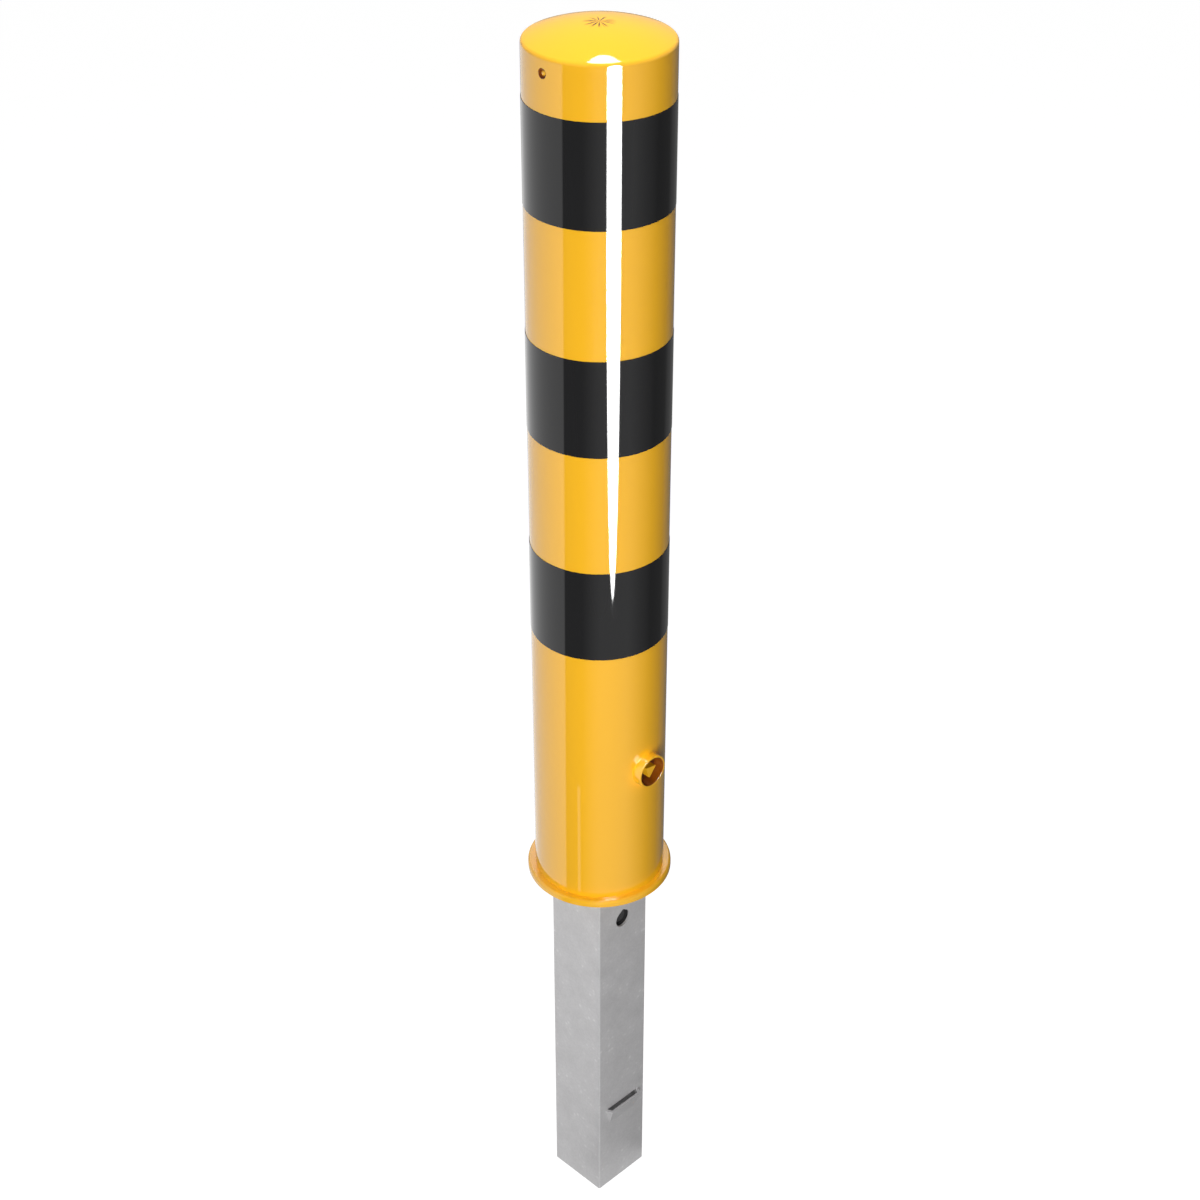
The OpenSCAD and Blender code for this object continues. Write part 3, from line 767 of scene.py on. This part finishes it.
screen_a = np.linspace(0, 2 * np.pi, 120, endpoint=False)
screen_rim = np.array([[SCREEN_INNER_R], [SCREEN_R], [SCREEN_R]])
screen_points = wrapped(*np.meshgrid(screen_a, [MM, MM, SCREEN_TOP]), screen_rim)


def mirrored_only(name, points):
    """A stage sheet from a grid of rings, seen by mirrored rays and by nothing else."""
    mesh = bpy.data.meshes.new(name)
    mesh.from_pydata(points.reshape(-1, 3).tolist(), [],
                     grid_faces(len(points), points.shape[1], 0, True).tolist())
    sheet = bpy.data.objects.new(name, mesh)
    scene.collection.objects.link(sheet)
    for kind in ("camera", "diffuse", "transmission", "volume_scatter", "shadow"):
        setattr(sheet, "visible_" + kind, False)
    return sheet


screen = mirrored_only("reflecting_screen", screen_points)
dome_rim = np.array([[SCREEN_R], [2.2], [2.0], [1.4], [0.4], [0.001]])
dome_heights = [SCREEN_TOP, 1.6, 3.0, 4.0, 4.5, 4.5]
dome = mirrored_only("grey_dome", wrapped(*np.meshgrid(screen_a, dome_heights), dome_rim))
dome_material, tree = new_material("grey_cloth_dome")
dim = add_node(tree, "ShaderNodeEmission", inputs={"Strength": 0.46})
add_node(tree, "ShaderNodeOutputMaterial", links={"Surface": dim.outputs[0]})
dome.data.materials.append(dome_material)

# %% Brightness round the screen
screen_material, tree = new_material("lit_cloth_screen")
coords = add_node(tree, "ShaderNodeTexCoord")
front = tuple(around(0, 1, 0))
right = tuple(around(90, 1, 0))
ahead = add_node(tree, "ShaderNodeVectorMath", settings={"operation": "DOT_PRODUCT"},
                 inputs={1: front}, links={0: coords.outputs["Object"]})
aside = add_node(tree, "ShaderNodeVectorMath", settings={"operation": "DOT_PRODUCT"},
                 inputs={1: right}, links={0: coords.outputs["Object"]})
side = add_node(tree, "ShaderNodeMath", settings={"operation": "ARCTAN2"},
                links={0: aside.outputs["Value"], 1: ahead.outputs["Value"]})
height = add_node(tree, "ShaderNodeSeparateXYZ", links={"Vector": coords.outputs["Object"]})
# The boards lean a little, so many degrees round the axis for each metre of height
LEAN = -5
lean = add_node(tree, "ShaderNodeMath", settings={"operation": "MULTIPLY_ADD"},
                inputs={1: math.radians(LEAN)},
                links={0: height.outputs["Z"], 2: side.outputs["Value"]})
place = add_node(tree, "ShaderNodeMapRange",
                 inputs={"From Min": -math.pi, "From Max": math.pi},
                 links={"Value": lean.outputs["Value"]})
ramp = add_node(tree, "ShaderNodeValToRGB", links={"Fac": place.outputs["Result"]})
stops = ramp.color_ramp.elements
while len(stops) < len(SCREEN):
    stops.new(0.5)
for stop, (degrees, level) in zip(stops, SCREEN):
    stop.position = (degrees + 180) / 360
for stop, (degrees, level) in zip(stops, SCREEN):
    stop.color = (level / SCREEN_PEAK,) * 3 + (1,)
cloth = add_node(tree, "ShaderNodeEmission", inputs={"Strength": SCREEN_PEAK},
                 links={"Color": ramp.outputs["Color"]})
add_node(tree, "ShaderNodeOutputMaterial", links={"Surface": cloth.outputs[0]})
screen.data.materials.append(screen_material)

# %% [markdown]
# ## Lamps
# Broad soft boxes light the post: a tall one in front, a weaker one on the left and a wide one
# overhead. They aren't mirrored. The gloss mirrors smaller lamps instead: an oval one overhead,
# whose image is the bright patch on the crown, a low one at the back for the flange's ledge, a
# slit by the floor, and a tall narrow strip that gives the long white line down the tube.

# %% Lamps
def soft_box(name, side, distance, height, size, power, shape="RECTANGLE", aim=None,
             mirrored=True, lights=True, facing=None):
    """A flat lamp of size (width, height) and power in watts, aimed at the post's axis
    at height aim, or level where aim is None. facing is the side that it is turned to, where
    that isn't the side that it stands on."""
    data = bpy.data.lights.new(name, "AREA")
    data.shape = shape
    data.size, data.size_y = size
    data.energy = power
    lamp = bpy.data.objects.new(name, data)
    lamp.location = around(side, distance, height)
    drop = 0 if aim is None else math.atan2(height - aim, distance)
    turn = CAMERA_SIDE + math.radians(side if facing is None else facing)
    lamp.rotation_euler = (math.pi / 2 - drop, 0, turn)
    lamp.visible_camera = False
    lamp.visible_glossy = mirrored
    lamp.visible_diffuse = lights
    scene.collection.objects.link(lamp)
    return lamp


soft_box("tall_front_box", -2, 2.0, 1.08, (0.5, 1.8), 40, mirrored=False)
soft_box("left_box", -125, 1.8, 0.9, (0.8, 1.6), 9, mirrored=False)
soft_box("wide_overhead_box", 0, 0.01, 3.2, (1.2, 1.2), 20, aim=0, mirrored=False)
low_back = soft_box("low_back_box", 180, 0.38, 0.78, (0.5, 0.2), 0.6, aim=0.5)
soft_box("slit_box", -34, 0.6, 0.13, (0.05, 0.26), 0.03, lights=False)
oval = soft_box("oval_overhead_box", 165, 0.2, 2.72, (0.44, 1.0), 15, "ELLIPSE", aim=-40,
                facing=180)
strip = soft_box("strip_box", 20.2, 0.55, 1.183, (0.2, 1.142), 22, "ELLIPSE", lights=False)

# As if by flags on stands, each of these lamps reaches only the pieces named with it
upper_pieces = [tube, cap, barrel] + bands
for lamp, reached in ((oval, upper_pieces), (strip, upper_pieces), (low_back, [flange])):
    lit = bpy.data.collections.new("lit_by_" + lamp.name)
    for piece in reached:
        lit.objects.link(piece)
    lamp.light_linking.receiver_collection = lit
